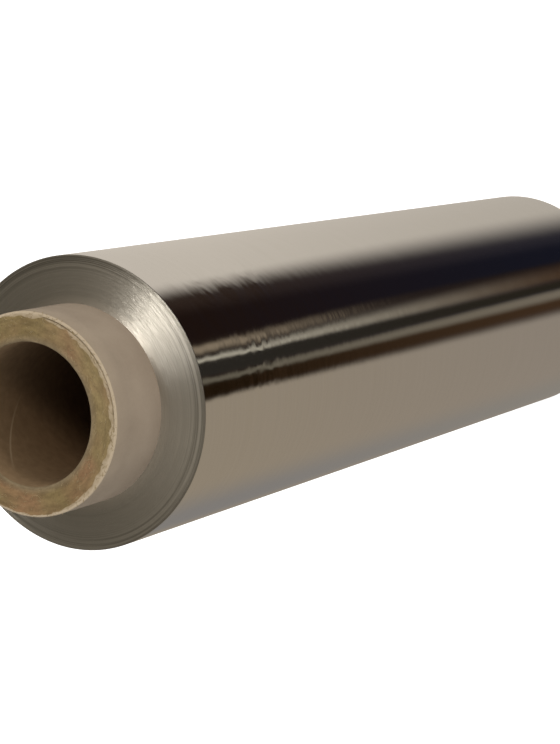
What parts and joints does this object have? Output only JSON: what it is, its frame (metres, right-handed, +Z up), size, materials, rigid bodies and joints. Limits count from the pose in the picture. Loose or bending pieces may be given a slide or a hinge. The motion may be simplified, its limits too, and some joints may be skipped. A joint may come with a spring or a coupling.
{
  "type": "aluminium foil roll",
  "caption": "Roll of aluminium foil wound on a thick paper core that stands out past the winding at its ends.",
  "frame": {"origin": "centre of the core's lower end, on the surface the roll stands on", "axes": "+Z up along the roll's axis; the end with the loose ply, the one the picture shows, is on top; -Y is the side that faces the picture's camera, and the sheet's free edge is at +Y"},
  "size_m": [0.0799, 0.08, 0.344],
  "materials": {
    "foil": "bright rolled foil",
    "core_board": "matte grey-brown board"
  },
  "bodies": {
    "root": {"foil_winding": "foil", "paper_core": "core_board"}
  },
  "joints": []
}
